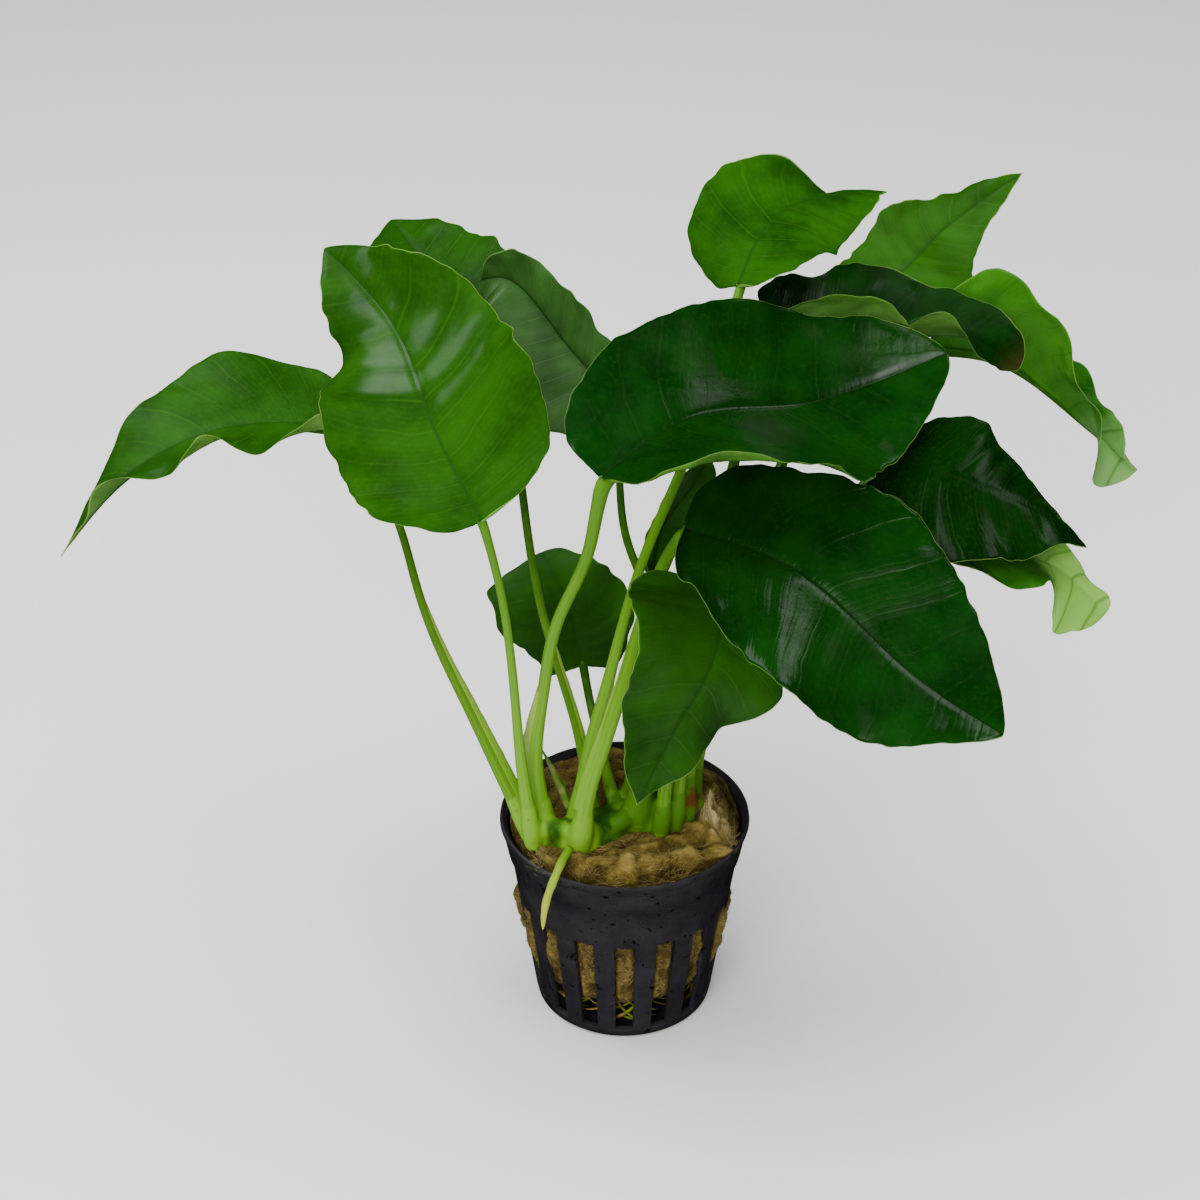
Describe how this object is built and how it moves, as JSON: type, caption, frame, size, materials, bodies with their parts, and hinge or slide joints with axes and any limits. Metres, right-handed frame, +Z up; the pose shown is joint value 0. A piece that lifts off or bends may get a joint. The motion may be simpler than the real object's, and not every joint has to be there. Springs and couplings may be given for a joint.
{
  "type": "potted anubias barteri",
  "caption": "Potted anubias barteri: broad leathery leaves on long stalks from a creeping rhizome, in a slotted net pot of rock wool.",
  "frame": {"origin": "middle of the pot's underside, on the surface it stands on", "axes": "+Z up, -Y towards the side the plant is seen from, +X to the right from there"},
  "size_m": [0.2284, 0.1587, 0.1667],
  "materials": {
    "pot_plastic": "satin",
    "rock_wool": "matte",
    "rhizome": "satin",
    "root": "satin",
    "dry_scale": "matte",
    "leaf_dark": "satin",
    "leaf_middle": "satin",
    "leaf_bright": "satin",
    "stalk": "satin"
  },
  "bodies": {
    "root": {"pot": "pot_plastic", "rock_wool": "rock_wool", "rhizome": "rhizome", "aerial_root": "root", "dry_scale": "dry_scale", "blade_far_left": "leaf_middle", "blade_front_left": "leaf_middle", "blade_back_left": "leaf_middle", "blade_back_middle": "leaf_dark", "blade_centre": "leaf_dark", "blade_front_right": "leaf_dark", "blade_hanging": "leaf_middle", "blade_low_back": "leaf_dark", "blade_top_middle": "leaf_middle", "blade_top_right": "leaf_middle", "blade_arching": "leaf_dark", "blade_bright_right": "leaf_bright", "blade_dark_right": "leaf_dark", "blade_low_right": "leaf_bright", "blade_young": "leaf_middle", "stalk_far_left": "stalk", "stalk_front_left": "stalk", "stalk_back_left": "stalk", "stalk_back_middle": "stalk", "stalk_centre": "stalk", "stalk_front_right": "stalk", "stalk_hanging": "stalk", "stalk_low_back": "stalk", "stalk_top_middle": "stalk", "stalk_top_right": "stalk", "stalk_arching": "stalk", "stalk_bright_right": "stalk", "stalk_dark_right": "stalk", "stalk_low_right": "stalk", "stalk_young": "stalk"}
  },
  "joints": []
}
